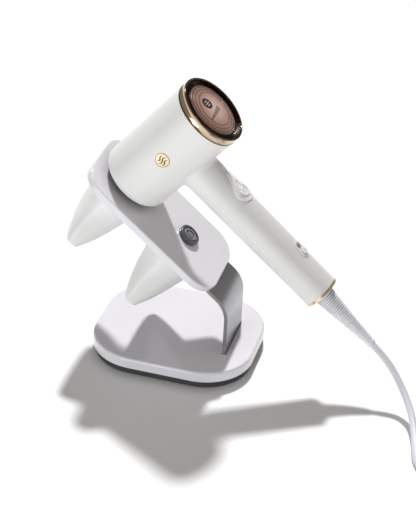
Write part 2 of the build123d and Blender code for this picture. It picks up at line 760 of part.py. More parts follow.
with BuildPart(thumb_plane(BUTTON_AT).offset(BUTTON_BOTTOM)) as speed_button:
    Cylinder(BUTTON_R, BUTTON_TOP - BUTTON_BOTTOM, align=BOTTOM)
    fillet(faces().sort_by(Axis(handle.origin, normal))[-1].edges(), 0.7)
    with Locations((0, 0, BUTTON_TOP - BUTTON_BOTTOM + 19.2)):
        Sphere(20.0, mode=Mode.SUBTRACT)
    with Locations((0, 0, BUTTON_TOP - BUTTON_BOTTOM - 0.5)):
        Torus(3.6, 0.35, mode=Mode.SUBTRACT)

with BuildPart(thumb_plane(BUTTON_AT).offset(BOARD_N + BOARD_T)) as button_switch:
    Box(6, 6, 3.0, align=BOTTOM)
    Cylinder(1.6, 3.6, align=BOTTOM)

with BuildPart(handle.offset(SWITCH_AT)) as switch_bezel:
    Cylinder(handle_radius(SWITCH_AT) + 0.7, 40)
    Cylinder(handle_radius(SWITCH_AT) - HANDLE_WALL, 40, mode=Mode.SUBTRACT)
    with BuildSketch(thumb_plane(SWITCH_AT)):
        SlotOverall(SWITCH_OVAL[0], SWITCH_OVAL[1])
    extrude(amount=40, mode=Mode.INTERSECT)
    fillet(faces().sort_by(Axis(handle.origin, normal))[-1].edges(), 0.4)
    with BuildSketch(thumb_plane(SWITCH_AT)):
        SlotOverall(*SLOT_SIZE)
    extrude(amount=40, mode=Mode.SUBTRACT)

knob_x = SWITCH_AT + (SLOT_SIZE[0] - KNOB_SIZE[0]) / 2 - 0.3
with BuildPart() as switch_knob:
    with BuildSketch(thumb_plane(knob_x).offset(12.6)):
        SlotOverall(*KNOB_SIZE)
    extrude(amount=8.5)
    fillet(faces().sort_by(Axis(handle.origin, normal))[-1].edges(), 0.6)
    with BuildSketch(thumb_plane(knob_x).offset(20.7)):
        with GridLocations(1.5, 1, 3, 1):
            Rectangle(0.5, 3.6)
    extrude(amount=1.0, mode=Mode.SUBTRACT)

with BuildPart(thumb_plane(SWITCH_AT + 3).offset(BOARD_N + BOARD_T)) as slide_switch:
    Box(18, 8, 2.8, align=BOTTOM)

with BuildPart(thumb_plane(115).offset(BOARD_N)) as control_board:
    Box(126, 24, BOARD_T, align=BOTTOM)

with BuildPart(thumb_plane(125).offset(-3)) as motor_board:
    Box(70, 26, BOARD_T, align=BOTTOM)
    with Locations((0, 0, BOARD_T)):
        with GridLocations(14, 11, 3, 2):
            Box(7, 6, 3, align=BOTTOM)

with BuildPart(thumb_plane(65).offset(-12)) as ion_module:
    Box(30, 16, 8, align=BOTTOM)
    fillet(edges().filter_by(Axis(handle.origin, normal)), 1.0)

# ---------------------------------------------------------------- handle end

END_RING_T = 2.6
CAP_AT = HANDLE_END - 3.5
CAP_FACE = HANDLE_END + END_RING_T - 0.6
RELIEF_R = 11.0
RELIEF_TIP_R = 4.6
RELIEF_NECK_R = 9.0
CAP_SCREW_R = 13.8

end_ring = tube(
    handle.offset(HANDLE_END), HANDLE_END_R + 0.25, HANDLE_END_R - HANDLE_WALL, END_RING_T
)

with BuildPart(handle.offset(CAP_AT)) as end_cap:
    Cylinder(HANDLE_END_R - HANDLE_WALL - 0.05, CAP_FACE - CAP_AT, align=BOTTOM)
    Cylinder(RELIEF_NECK_R + 0.05, CAP_FACE - CAP_AT, align=BOTTOM, mode=Mode.SUBTRACT)
    with Locations((CAP_SCREW_R, 0, 0), (-CAP_SCREW_R, 0, 0)):
        Cylinder(1.25, CAP_FACE - CAP_AT, align=BOTTOM, mode=Mode.SUBTRACT)

cap_screw_parts = []
for side in (CAP_SCREW_R, -CAP_SCREW_R):
    head_plane = Plane(
        origin=handle.from_local_coords((side, 0, CAP_FACE)), x_dir=normal, z_dir=handle_dir
    )
    cap_screw_parts.append(pan_screw(head_plane, 2.0, 1.0, 1.2, CAP_FACE - CAP_AT + 1.0))
end_cap_screws = Compound(children=cap_screw_parts)

# the relief bends gently from the handle's direction to the cord's
CORD_EXIT = Vector(200.6, -14.7, 55.5)
relief_start = handle.offset(CAP_FACE).origin
relief_corner = relief_start + handle_dir * 35.0


def relief_point(t):
    """A point on the relief's bent axis, t from 0 at the handle to 1 at the cord."""
    first = relief_start * (1 - t) ** 2
    return first + relief_corner * (2 * t * (1 - t)) + CORD_EXIT * t**2


def relief_direction(t):
    """The direction of the relief's axis at t."""
    step = (relief_corner - relief_start) * (1 - t) + (CORD_EXIT - relief_corner) * t
    return step.normalized()


with BuildPart() as strain_relief:
    for i in range(5):
        t = i / 4
        with BuildSketch(Plane(origin=relief_point(t), z_dir=relief_direction(t))):
            Circle(RELIEF_R + (RELIEF_TIP_R - RELIEF_R) * t)
    loft()
    with BuildSketch(handle.offset(CAP_AT - 3)):
        Circle(RELIEF_NECK_R)
    extrude(amount=CAP_FACE - CAP_AT + 3)
    with BuildSketch(handle.offset(CAP_AT - 3)):
        Circle(12.0)
    extrude(amount=3)

# ---------------------------------------------------------------- cord

# the first run carries on in the relief's end direction
CORD_ROUTE = [
    tuple(CORD_EXIT),
    tuple(CORD_EXIT + relief_direction(1.0) * 21.0),
    (236.0, -33.0, 26.5),
    (251.0, -54.0, 14.0),
    (260.5, -82.0, 5.6),
    (267.0, -115.0, 3.7),
    (279.2, -130.8, 3.7),
    (297.2, COIL_Y - 43.6, 4.0),
    (318.0, COIL_Y - 43.6, 4.5),
]
PLUG_X = COIL_X + 45.0
PLUG_NECK_Y = COIL_Y + 92.0
PLUG_NECK = 12.0
TAIL_ROUTE = [
    (COIL_X + 43.6, COIL_Y + 12.0, 25.6),
    (COIL_X + 43.8, COIL_Y + 30.0, 23.2),
    (COIL_X + 44.6, COIL_Y + 50.0, 16.0),
    (PLUG_X, COIL_Y + 72.0, 13.0),
    (PLUG_X, PLUG_NECK_Y, 13.0),
]
PLUG_SIZE = (34.0, 26.0, 44.0)


def corner_radii(route):
    """The largest arc that fits at each corner of a route, 0.45 of the shorter run."""
    radii = []
    for before, at, after in zip(route, route[1:], route[2:]):
        first = Vector(*at) - Vector(*before)
        second = Vector(*after) - Vector(*at)
        half_turn = math.radians(first.get_angle(second)) / 2
        radii.append(0.45 * min(first.length, second.length) / math.tan(half_turn))
    return radii


def cord_along(route):
    """A round cord swept along straight runs joined by tangent arcs."""
    radii = corner_radii(route)
    with BuildPart() as cord:
        with BuildLine() as line:
            FilletPolyline(*route, radius=radii)
        direction = Vector(*route[1]) - Vector(*route[0])
        with BuildSketch(Plane(origin=route[0], z_dir=direction)):
            Circle(CORD_R)
        sweep(path=line.line)
    length = sum(edge.length for edge in line.line.edges())
    print("cord run", round(length, 1), "radii", [round(radius, 1) for radius in radii])
    print("  volume over section x length", cord.part.volume / (math.pi * CORD_R**2 * length))
    return cord.part


cord_tube = cord_along(CORD_ROUTE)
cord_tail = cord_along(TAIL_ROUTE)

coil_half = (COIL_PITCH + 2 * CORD_R) / 2
coil_height = 2 * CORD_R + (COIL_LAYERS - 1) * COIL_LAYER
coil_axis = Axis((COIL_X, COIL_Y, 0), (0, 0, 1))
with BuildPart() as cord_coil:
    with BuildSketch(Plane(origin=(COIL_X, COIL_Y, 0), x_dir=(1, 0, 0), z_dir=(0, -1, 0))):
        with Locations((COIL_R, TIE_T + coil_height / 2)):
            RectangleRounded(2 * coil_half, coil_height, CORD_R - 0.1)
    revolve(axis=coil_axis)

with BuildPart(Plane(origin=(COIL_X, COIL_Y + COIL_R - 0.25, 0))) as cord_tie:
    Box(12.0, 2 * coil_half + 3.4, coil_height + 2 * TIE_T + 0.1, align=BOTTOM)
    with Locations((0, 0, TIE_T)):
        Box(12.0, 2 * coil_half + 0.9, coil_height + 0.1, align=BOTTOM, mode=Mode.SUBTRACT)

plug_plane = Plane(
    origin=(PLUG_X, PLUG_NECK_Y + PLUG_NECK, 13.0), x_dir=(1, 0, 0), z_dir=(0, 1, 0)
)
with BuildPart() as plug_body:
    with BuildSketch(plug_plane):
        RectangleRounded(PLUG_SIZE[0], PLUG_SIZE[1], 6.0)
    extrude(amount=PLUG_SIZE[2])
    fillet(faces().sort_by(Axis.Y)[-1].edges(), 1.5)
    fillet(faces().sort_by(Axis.Y)[0].edges(), 3.0)
    with BuildSketch(plug_plane.offset(-PLUG_NECK)):
        Circle(4.4)
    with BuildSketch(plug_plane.offset(0.5)):
        Circle(7.5)
    loft()

blade_parts = []
for side in (-6.35, 6.35):
    with BuildPart() as blade:
        with BuildSketch(plug_plane.offset(PLUG_SIZE[2])):
            with Locations((side, 0)):
                Rectangle(1.5, 6.3)
        extrude(amount=17.0)
        chamfer(faces().sort_by(Axis.Y)[-1].edges(), 0.5)
        with BuildSketch(Plane(origin=(PLUG_X + side, 0, 13), z_dir=(1, 0, 0))):
            with Locations((PLUG_NECK_Y + PLUG_NECK + PLUG_SIZE[2] + 13, 0)):
                Circle(1.5)
        extrude(amount=2, both=True, mode=Mode.SUBTRACT)
    blade_parts.append(blade.part)
plug_blades = Compound(children=blade_parts)

# ---------------------------------------------------------------- pieces

PIECES = {
    "base_cover": base_cover.part,
    "base_tray": base_tray.part,
    "base_weight": base_weight.part,
    "foot_pad": foot_pad.part,
    "stand_screws": Compound(children=[*base_screws.children, *arm_foot_screws.children]),
    "stand_arm": stand_arm.part,
    "plate_screws": Compound(children=[*arm_top_screws.children, *dock_screws.children]),
    "plate_shell": plate_shell.part,
    "plate_frame": plate_frame.part,
    "plate_cover": plate_cover.part,
    "dock_pucks": Compound(children=list(dock_pucks.values())),
    "dock_magnets": Compound(children=[*dock_magnets.children, *pole_rings.children]),
    "nozzle_seats": nozzle_seats,
    "body_shell": body_shell.part,
    "badge": badge.part,
    "outlet_grille": outlet_grille.part,
    "hub_plate": hub_plate.part,
    "outlet_magnet": outlet_magnet,
    "air_duct": air_duct,
    "heater_sleeve": heater_sleeve,
    "heater_boards": heater_boards.part,
    "heater_coils": heater_coils,
    "thermal_cutout": thermal_cutout.part,
    "fan_housing": fan_housing.part,
    "fan_isolators": fan_isolators,
    "motor_bearings": motor_bearings,
    "motor_end_plate": motor_end_plate,
    "motor_stator": motor_stator.part,
    "motor_windings": motor_windings,
    "rotor_magnet": rotor_magnet,
    "rotor_shaft": rotor_shaft.part,
    "impeller": impeller.part,
    "display_housing": display_housing.part,
    "display_board": display_board.part,
    "display_lens": display_lens.part,
    "filter_ring": filter_ring.part,
    "filter_mesh": filter_mesh.part,
    "control_plate": control_plate.part,
    "status_lights": status_lights,
    "speed_button": speed_button.part,
    "board_switches": Compound(children=[button_switch.part, slide_switch.part]),
    "switch_bezel": switch_bezel.part,
    "switch_knob": switch_knob.part,
    "control_board": control_board.part,
    "motor_board": motor_board.part,
    "ion_module": ion_module.part,
    "end_ring": end_ring,
    "end_cap": end_cap.part,
    "end_cap_screws": end_cap_screws,
    "strain_relief": strain_relief.part,
    "cord_tube": cord_tube,
    "cord_coil": cord_coil.part,
    "cord_tail": cord_tail,
    "cord_tie": cord_tie.part,
    "plug_body": plug_body.part,
    "plug_blades": plug_blades,
}
for side in ("front", "rear"):
    PIECES[f"{side}_nozzle_shell"] = nozzle_shells[side]
    PIECES[f"{side}_nozzle_magnet"] = nozzle_magnets[side]

for label, piece in PIECES.items():
    piece.label = label
    export_step(piece, f"parts/{label}.step")
print(len(PIECES), "pieces")
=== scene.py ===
"""Looks for the hair dryer on its tabletop dock. Metres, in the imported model's own frame."""

import math

import bpy
from mathutils import Matrix, Vector


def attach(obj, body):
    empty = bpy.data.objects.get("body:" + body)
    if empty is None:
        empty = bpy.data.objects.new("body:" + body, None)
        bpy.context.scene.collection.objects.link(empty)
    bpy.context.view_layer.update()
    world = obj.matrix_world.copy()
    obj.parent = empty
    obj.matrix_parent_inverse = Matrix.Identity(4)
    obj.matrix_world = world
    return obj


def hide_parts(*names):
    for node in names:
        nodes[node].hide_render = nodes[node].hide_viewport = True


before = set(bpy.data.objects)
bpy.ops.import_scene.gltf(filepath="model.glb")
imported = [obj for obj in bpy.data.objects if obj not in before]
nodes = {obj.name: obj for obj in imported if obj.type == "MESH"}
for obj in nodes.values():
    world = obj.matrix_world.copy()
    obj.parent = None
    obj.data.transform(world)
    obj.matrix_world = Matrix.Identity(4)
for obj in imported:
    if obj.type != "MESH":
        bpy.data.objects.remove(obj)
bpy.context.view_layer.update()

MM = 0.001

# ---------------------------------------------------------------- axes of the model

TILT = math.radians(40.1)
TURN = math.radians(-1.4)
ACROSS = Vector((0, 1, 0))
ALONG = Vector((math.cos(TILT), 0, -math.sin(TILT)))
NORMAL = Vector((math.sin(TILT), 0, math.cos(TILT)))
HANDLE_DIR = ALONG * math.cos(TURN) + ACROSS * math.sin(TURN)
PLATE_AT = Vector((-22.0, 0, 151.3)) * MM
DOCK_OFFSET = 44.5
HANDLE_H = 65.8
FRONT_DOCK = PLATE_AT - ALONG * DOCK_OFFSET * MM
HANDLE_AT = FRONT_DOCK + NORMAL * HANDLE_H * MM
SIDE = NORMAL.cross(HANDLE_DIR)

# ---------------------------------------------------------------- materials


class Shader:
    """A Principled material whose colour, roughness and bump come from nodes."""

    def __init__(self, name, colour, roughness, metallic=0.0, coat=0.0, specular=0.5):
        self.material = bpy.data.materials.new(name)
        self.material.use_nodes = True
        self.tree = self.material.node_tree
        self.links = self.tree.links
        self.bsdf = self.tree.nodes["Principled BSDF"]
        self.colour = colour
        self.bsdf.inputs["Metallic"].default_value = metallic
        self.bsdf.inputs["Coat Weight"].default_value = coat
        self.bsdf.inputs["Coat Roughness"].default_value = 0.08
        self.bsdf.inputs["Specular IOR Level"].default_value = specular
        self.roughness = roughness
        self.position = self.node("ShaderNodeTexCoord").outputs["Object"]
        self.bumps = None

    def node(self, kind, **settings):
        made = self.tree.nodes.new(kind)
        for key, value in settings.items():
            setattr(made, key, value)
        return made

    def maths(self, operation, first, second=None, third=None, clamp=False):
        made = self.node("ShaderNodeMath", operation=operation, use_clamp=clamp)
        for slot, value in zip(made.inputs, (first, second, third)):
            if value is None:
                continue
            if isinstance(value, (int, float)):
                slot.default_value = value
            else:
                self.links.new(value, slot)
        return made.outputs[0]

    def noise(self, scale, detail=3.0, stretch=None):
        source = self.position
        if stretch is not None:
            mapping = self.node("ShaderNodeMapping")
            self.links.new(source, mapping.inputs["Vector"])
            mapping.inputs["Scale"].default_value = stretch
            source = mapping.outputs["Vector"]
        made = self.node("ShaderNodeTexNoise")
        self.links.new(source, made.inputs["Vector"])
        made.inputs["Scale"].default_value = scale
        made.inputs["Detail"].default_value = detail
        return made.outputs["Fac"]

    def ramp(self, value, stops):
        made = self.node("ShaderNodeValToRGB")
        while len(made.color_ramp.elements) < len(stops):
            made.color_ramp.elements.new(0.5)
        for element, (place, colour) in zip(made.color_ramp.elements, stops):
            element.position = place
            element.color = (*colour, 1.0)
        self.links.new(value, made.inputs["Fac"])
        return made.outputs["Color"]

    def radius_from(self, origin, direction):
        """Distance from an axis, in millimetres."""
        offset = self.node("ShaderNodeVectorMath", operation="SUBTRACT")
        self.links.new(self.position, offset.inputs[0])
        offset.inputs[1].default_value = origin
        cross = self.node("ShaderNodeVectorMath", operation="CROSS_PRODUCT")
        self.links.new(offset.outputs[0], cross.inputs[0])
        cross.inputs[1].default_value = direction
        length = self.node("ShaderNodeVectorMath", operation="LENGTH")
        self.links.new(cross.outputs[0], length.inputs[0])
        return self.maths("MULTIPLY", length.outputs["Value"], 1000.0)

    def distance_along(self, origin, direction):
        """Distance along a direction from a point, in millimetres."""
        offset = self.node("ShaderNodeVectorMath", operation="SUBTRACT")
        self.links.new(self.position, offset.inputs[0])
        offset.inputs[1].default_value = origin
        dot = self.node("ShaderNodeVectorMath", operation="DOT_PRODUCT")
        self.links.new(offset.outputs[0], dot.inputs[0])
        dot.inputs[1].default_value = direction
        return self.maths("MULTIPLY", dot.outputs["Value"], 1000.0)

    def vary_colour(self, amount, scale=30.0, stretch=None, warm=0.0):
        """The base colour, a little darker and lighter in soft patches."""
        low = tuple(c * (1 - amount) for c in self.colour)
        high = tuple(
            min(1.0, c * (1 + amount * k)) for c, k in zip(self.colour, (1 + warm, 1, 1 - warm))
        )
        field = self.noise(scale, 4.0, stretch)
        self.links.new(
            self.ramp(field, [(0.3, low), (0.7, high)]), self.bsdf.inputs["Base Color"]
        )

    def vary_roughness(self, amount, scale=60.0, stretch=None):
        field = self.noise(scale, 5.0, stretch)
        low = self.roughness - amount
        self.links.new(
            self.maths("MULTIPLY_ADD", field, 2 * amount, low, clamp=True),
            self.bsdf.inputs["Roughness"],
        )

    def bump(self, height, strength, distance):
        made = self.node("ShaderNodeBump")
        made.inputs["Strength"].default_value = strength
        made.inputs["Distance"].default_value = distance
        self.links.new(height, made.inputs["Height"])
        if self.bumps is not None:
            self.links.new(self.bumps, made.inputs["Normal"])
        self.bumps = made.outputs["Normal"]
        self.links.new(self.bumps, self.bsdf.inputs["Normal"])


def moulded(name, colour, roughness, coat=0.0, grain=1400.0, depth=0.00002, vary=0.02):
    """Painted or moulded plastic: soft mottle, uneven gloss and a fine skin."""
    made = Shader(name, colour, roughness, 0.0, coat)
    made.vary_colour(vary, 24.0)
    made.vary_roughness(0.05, 80.0)
    made.bump(made.noise(grain, 3.0), 0.25, depth)
    return made


def metal(name, colour, roughness, stretch=None, depth=0.00001, vary=0.05):
    """Bare or plated metal, with brush marks along the direction that stretch leaves short."""
    made = Shader(name, colour, roughness, 1.0)
    made.vary_colour(vary, 60.0, stretch)
    made.vary_roughness(0.08, 200.0, stretch)
    made.bump(made.noise(700.0, 4.0, stretch), 0.2, depth)
    return made


satin_white = moulded("satin_white", (0.80, 0.80, 0.785), 0.36, 0.25, 2600.0, 0.000012, 0.015)
nozzle_white = moulded("nozzle_white", (0.80, 0.80, 0.79), 0.42, 0.08, 2200.0, 0.000012, 0.015)
stand_white = moulded("stand_white", (0.79, 0.78, 0.82), 0.14, 0.5, 900.0, 0.000006, 0.01)
button_white = moulded("button_white", (0.84, 0.84, 0.85), 0.26, 0.35, 2000.0, 0.00001)
dark_plastic = moulded("dark_plastic", (0.018, 0.018, 0.020), 0.38, 0.1, 1500.0, 0.00003, 0.2)
puck_grey = moulded("puck_grey", (0.075, 0.075, 0.085), 0.34, 0.3, 1500.0, 0.00002, 0.1)
pole_grey = moulded("pole_grey", (0.22, 0.22, 0.24), 0.36, 0.2, 1500.0, 0.00001, 0.06)
engraved = moulded("engraved", (0.09, 0.055, 0.03), 0.4, 0.0, 1500.0, 0.00001, 0.1)
dark_gloss = moulded("dark_gloss", (0.010, 0.010, 0.012), 0.12, 0.6, 900.0, 0.000008, 0.2)
grey_plastic = moulded("grey_plastic", (0.30, 0.30, 0.32), 0.45, 0.0, 1200.0, 0.00003, 0.06)
tray_dark = moulded("tray_dark", (0.045, 0.043, 0.045), 0.5, 0.0, 1200.0, 0.00003, 0.1)
black_rubber = moulded("black_rubber", (0.02, 0.02, 0.02), 0.75, 0.0, 900.0, 0.00006, 0.2)
cord_pvc = moulded("cord_pvc", (0.70, 0.70, 0.75), 0.42, 0.05, 1500.0, 0.00003, 0.03)
relief_pvc = moulded("relief_pvc", (0.80, 0.80, 0.83), 0.46, 0.0, 1500.0, 0.00003, 0.03)
mica = moulded("mica", (0.52, 0.46, 0.33), 0.6, 0.0, 500.0, 0.00006, 0.2)
gold = metal("gold", (0.66, 0.53, 0.38), 0.15, None, 0.000004, 0.05)
badge_gold = metal("badge_gold", (0.86, 0.70, 0.48), 0.28, (1, 30, 1), 0.000006, 0.06)
arm_metal = metal("arm_metal", (0.40, 0.40, 0.42), 0.30, (1, 40, 1), 0.000014, 0.06)
steel = metal("steel", (0.52, 0.52, 0.53), 0.34, (30, 1, 1))
zinc = metal("zinc", (0.62, 0.61, 0.58), 0.28)
nickel = metal("nickel", (0.35, 0.35, 0.36), 0.30)
iron = metal("iron", (0.25, 0.25, 0.26), 0.55, None, 0.00006, 0.15)
copper = metal("copper", (0.66, 0.28, 0.12), 0.32, (1, 1, 30))
brass = metal("brass", (0.75, 0.56, 0.28), 0.26)
wire = metal("wire", (0.33, 0.30, 0.26), 0.45)
alloy = metal("alloy", (0.62, 0.62, 0.63), 0.30, (40, 1, 1))

# circuit board: green lacquer with faint copper tracks
board = Shader("board", (0.02, 0.11, 0.05), 0.35, 0.0, 0.3)
tracks = board.node("ShaderNodeTexBrick")
board.links.new(board.position, tracks.inputs["Vector"])
tracks.inputs["Scale"].default_value = 180.0
tracks.inputs["Color1"].default_value = (0.02, 0.11, 0.05, 1)
tracks.inputs["Color2"].default_value = (0.03, 0.14, 0.06, 1)
tracks.inputs["Mortar"].default_value = (0.10, 0.20, 0.08, 1)
board.links.new(tracks.outputs["Color"], board.bsdf.inputs["Base Color"])
board.vary_roughness(0.08)
board.bump(tracks.outputs["Fac"], 0.3, 0.00004)

# rose display lens: a painted highlight makes it paler in the middle, painted shade gives dark
# bands at its stepped rings and a dark rim, and turned grooves are bumped near its edge
LENS_R = 28.5
GROOVE_PITCH = 2.0
GROOVES_FROM = 18.7
lens = Shader("lens", (0.72, 0.42, 0.34), 0.20, 0.35, 0.5)
lens_radius = lens.radius_from(FRONT_DOCK, NORMAL)
lens_share = lens.maths("DIVIDE", lens_radius, LENS_R)
lens.links.new(
    lens.ramp(
        lens_share,
        [
            (0.0, (0.95, 0.70, 0.62)),
            (0.35, (0.80, 0.52, 0.44)),
            (0.62, (0.55, 0.32, 0.26)),
            (0.66, (0.16, 0.08, 0.06)),
            (0.69, (0.50, 0.29, 0.23)),
            (0.76, (0.44, 0.25, 0.20)),
            (0.79, (0.12, 0.06, 0.05)),
            (0.82, (0.42, 0.24, 0.19)),
            (0.87, (0.36, 0.20, 0.16)),
            (0.90, (0.08, 0.04, 0.035)),
            (0.93, (0.34, 0.19, 0.15)),
            (0.97, (0.20, 0.10, 0.08)),
            (1.0, (0.05, 0.03, 0.025)),
        ],
    ),
    lens.bsdf.inputs["Base Color"],
)
groove_turn = lens.maths("MULTIPLY", lens_radius, 2 * math.pi / GROOVE_PITCH)
groove_wave = lens.maths("SINE", groove_turn)
groove_gate = lens.maths("GREATER_THAN", lens_radius, GROOVES_FROM)
lens.bump(lens.maths("MULTIPLY", groove_wave, groove_gate), 0.6, 0.00022)
lens.vary_roughness(0.04, 120.0)

# painted shade: the intake ring's rolled edges are coloured darker than its middle
RING_LOW = 115.4
RING_HEIGHT = 9.4
ring_height = gold.distance_along(FRONT_DOCK, NORMAL)
ring_share = gold.maths("MULTIPLY_ADD", ring_height, 1 / RING_HEIGHT, -RING_LOW / RING_HEIGHT)
gold.links.new(
    gold.ramp(
        ring_share,
        [
            (0.0, (0.10, 0.06, 0.03)),
            (0.13, (0.22, 0.14, 0.08)),
            (0.25, (0.62, 0.49, 0.35)),
            (0.72, (0.68, 0.55, 0.40)),
            (0.84, (0.24, 0.15, 0.09)),
            (1.0, (0.10, 0.06, 0.03)),
        ],
    ),
    gold.bsdf.inputs["Base Color"],
)

# dark mesh inside the intake ring
mesh_metal = metal("mesh_metal", (0.03, 0.03, 0.032), 0.45)

# clear light pipe
pipe = Shader("light_pipe", (0.86, 0.90, 0.94), 0.12, 0.0, 0.5)
pipe.bsdf.inputs["Transmission Weight"].default_value = 0.35
pipe.vary_colour(0.03, 200.0)
pipe.vary_roughness(0.04, 300.0)

PAINT = {
    satin_white: ["body_shell", "switch_bezel", "end_cap"],
    button_white: ["control_plate", "speed_button", "switch_knob"],
    nozzle_white: ["front_nozzle_shell", "rear_nozzle_shell"],
    stand_white: ["base_cover", "plate_shell", "plate_cover"],
    arm_metal: ["stand_arm"],
    dark_plastic: [
        "display_housing",
        "outlet_grille",
        "fan_housing",
        "nozzle_seats",
    ],
    puck_grey: ["dock_pucks"],
    pole_grey: ["dock_magnets"],
    tray_dark: ["base_tray"],
    grey_plastic: ["air_duct", "ion_module", "board_switches", "impeller"],
    black_rubber: ["foot_pad", "fan_isolators"],
    iron: ["base_weight"],
    steel: ["plate_frame", "rotor_shaft", "motor_bearings", "motor_stator", "hub_plate"],
    zinc: ["stand_screws", "plate_screws", "end_cap_screws", "thermal_cutout"],
    nickel: [
        "outlet_magnet",
        "front_nozzle_magnet",
        "rear_nozzle_magnet",
        "rotor_magnet",
    ],
    gold: ["filter_ring"],
    badge_gold: ["badge", "end_ring"],
    mesh_metal: ["filter_mesh"],
    lens: ["display_lens"],
    mica: ["heater_sleeve", "heater_boards"],
    wire: ["heater_coils"],
    copper: ["motor_windings"],
    board: ["display_board", "control_board", "motor_board"],
    alloy: ["motor_end_plate"],
    pipe: ["status_lights"],
    brass: ["plug_blades"],
}
for shader, names in PAINT.items():
    for name in names:
        mesh = nodes[name].data
        mesh.materials.clear()
        mesh.materials.append(shader.material)

# ---------------------------------------------------------------- mesh helpers


def new_mesh(name, points, faces, shader, body):
    """A smooth mesh piece from points in metres, riding on a body."""
    mesh = bpy.data.meshes.new(name)
    mesh.from_pydata([tuple(p) for p in points], [], faces)
    mesh.validate()
    mesh.update()
    mesh.polygons.foreach_set("use_smooth", [True] * len(mesh.polygons))
    mesh.set_sharp_from_angle(angle=math.radians(38))
    mesh.materials.append(shader.material)
    piece = bpy.data.objects.new(name, mesh)
    bpy.context.scene.collection.objects.link(piece)
    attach(piece, body)
    return piece


def skin(rings, closed=False, caps=True):
    """Points and faces of a tube through equal rings; closed joins the last ring to the first."""
    count = len(rings[0])
    points = [p for ring in rings for p in ring]
    faces = []
    last = len(rings) if closed else len(rings) - 1
    for i in range(last):
        a = i * count
        b = ((i + 1) % len(rings)) * count
        for j in range(count):
            k = (j + 1) % count
            faces.append((a + j, a + k, b + k, b + j))
    if caps and not closed:
        faces.append(tuple(reversed(range(count))))
        faces.append(tuple(range(len(points) - count, len(points))))
    return points, faces


def circle_ring(centre, x_axis, y_axis, radius, count):
    """A ring of points round a centre."""
    ring = []
    for i in range(count):
        angle = 2 * math.pi * i / count
        ring.append(
            centre + x_axis * (radius * math.cos(angle)) + y_axis * (radius * math.sin(angle))
        )
    return ring


def squircle_ring(centre, x_axis, y_axis, half_x, half_y, power, count):
    """A ring of points round a rounded rectangle."""
    ring = []
    for i in range(count):
        angle = 2 * math.pi * (i + 0.5) / count
        c, s = math.cos(angle), math.sin(angle)
        x = math.copysign(abs(c) ** (2 / power), c) * half_x
        y = math.copysign(abs(s) ** (2 / power), s) * half_y
        ring.append(centre + x_axis * x + y_axis * y)
    return ring


# ---------------------------------------------------------------- strain relief

RELIEF_START = Vector((143.49, -5.02, 97.97)) * MM
RELIEF_CORNER = RELIEF_START + HANDLE_DIR * 35 * MM
CORD_EXIT = Vector((200.6, -14.7, 55.5)) * MM
RELIEF_R = 11.0
RELIEF_TIP_R = 4.6
RIBS = 26
RIBS_FROM = 0.05
RIBS_SPAN = 0.90
RIB_PITCH = RIBS_SPAN / RIBS


def relief_ring(t, radius):
    """A ring of the bent relief, at a share of the way from the handle to the cord's exit."""
    point = RELIEF_START * (1 - t) ** 2 + RELIEF_CORNER * (2 * t * (1 - t)) + CORD_EXIT * t**2
    step = (RELIEF_CORNER - RELIEF_START) * (1 - t) + (CORD_EXIT - RELIEF_CORNER) * t
    step.normalize()
    across = step.cross(Vector((0, 0, 1))).normalized()
    return circle_ring(point, across, step.cross(across), radius * MM, 48)


def relief_radius(t):
    """The relief's outer radius, which falls evenly towards the cord."""
    return RELIEF_R + (RELIEF_TIP_R - RELIEF_R) * t


relief_rings = [relief_ring(0.0, 10.6), relief_ring(0.012, RELIEF_R)]
for rib in range(RIBS):
    low = RIBS_FROM + RIBS_SPAN * rib / RIBS
    for share, drop in ((0.0, 0.0), (0.42, 0.0), (0.50, 1.0), (0.92, 1.0)):
        t = low + RIB_PITCH * share
        relief_rings.append(relief_ring(t, relief_radius(t) - drop * (2.6 - 1.9 * t)))
for t, radius in ((0.955, 4.9), (0.99, RELIEF_TIP_R), (1.0, 4.1)):
    relief_rings.append(relief_ring(t, radius))
points, faces = skin(relief_rings)
relief = new_mesh("ribbed_relief", points, faces, relief_pvc, "dryer")
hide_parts("strain_relief")

# ---------------------------------------------------------------- cord

COIL = Vector((338.0, -96.0, 0.0))
COLUMNS = (43.6, 36.4)
LAYER_Z = [4.5 + 7.1 * i for i in range(4)]
TURN_STEP = 18.0
SLOT_TURN = 320.0
SHIFT = 40.0

ROUTE = [
    (200.6, -14.7, 55.5),
    (217.66, -19.66, 44.3),
    (236.0, -33.0, 26.5),
    (251.0, -54.0, 14.0),
    (260.5, -82.0, 5.6),
    (267.0, -115.0, 3.7),
    (279.2, -130.8, 3.7),
    (297.2, -139.6, 4.0),
]
TAIL = [
    (381.6, -84.0, 25.6),
    (381.8, -66.0, 23.2),
    (382.6, -46.0, 16.0),
    (383.0, -24.0, 13.0),
    (383.0, -4.0, 13.0),
]

coil_slots = []
for layer, z in enumerate(LAYER_Z):
    order = COLUMNS if layer % 2 == 0 else COLUMNS[::-1]
    for radius in order:
        coil_slots.append((radius, z))


def coil_place(turned):
    """Radius and height of the winding after it has turned so many degrees."""
    radius, z = coil_slots[0]
    for k in range(len(coil_slots) - 1):
        end = 360.0 + SLOT_TURN * k
        start = end - SHIFT
        if turned >= end:
            radius, z = coil_slots[k + 1]
            continue
        if turned > start:
            share = (turned - start) / SHIFT
            share = share * share * (3 - 2 * share)
            r0, z0 = coil_slots[k]
            r1, z1 = coil_slots[k + 1]
            radius = r0 + (r1 - r0) * share
            z = z0 + (z1 - z0) * share
        break
    return radius, z


COIL_TURNED = 2610.0
route = [Vector(p) for p in ROUTE]
stretch = 1 / math.cos(math.radians(TURN_STEP / 2))
turned = -TURN_STEP / 2
while turned < COIL_TURNED:
    radius, z = coil_place(max(0.0, turned))
    angle = math.radians(-90 + turned)
    route.append(
        COIL + Vector((math.cos(angle) * radius * stretch, math.sin(angle) * radius * stretch, z))
    )
    turned += TURN_STEP
route += [Vector(p) for p in TAIL]


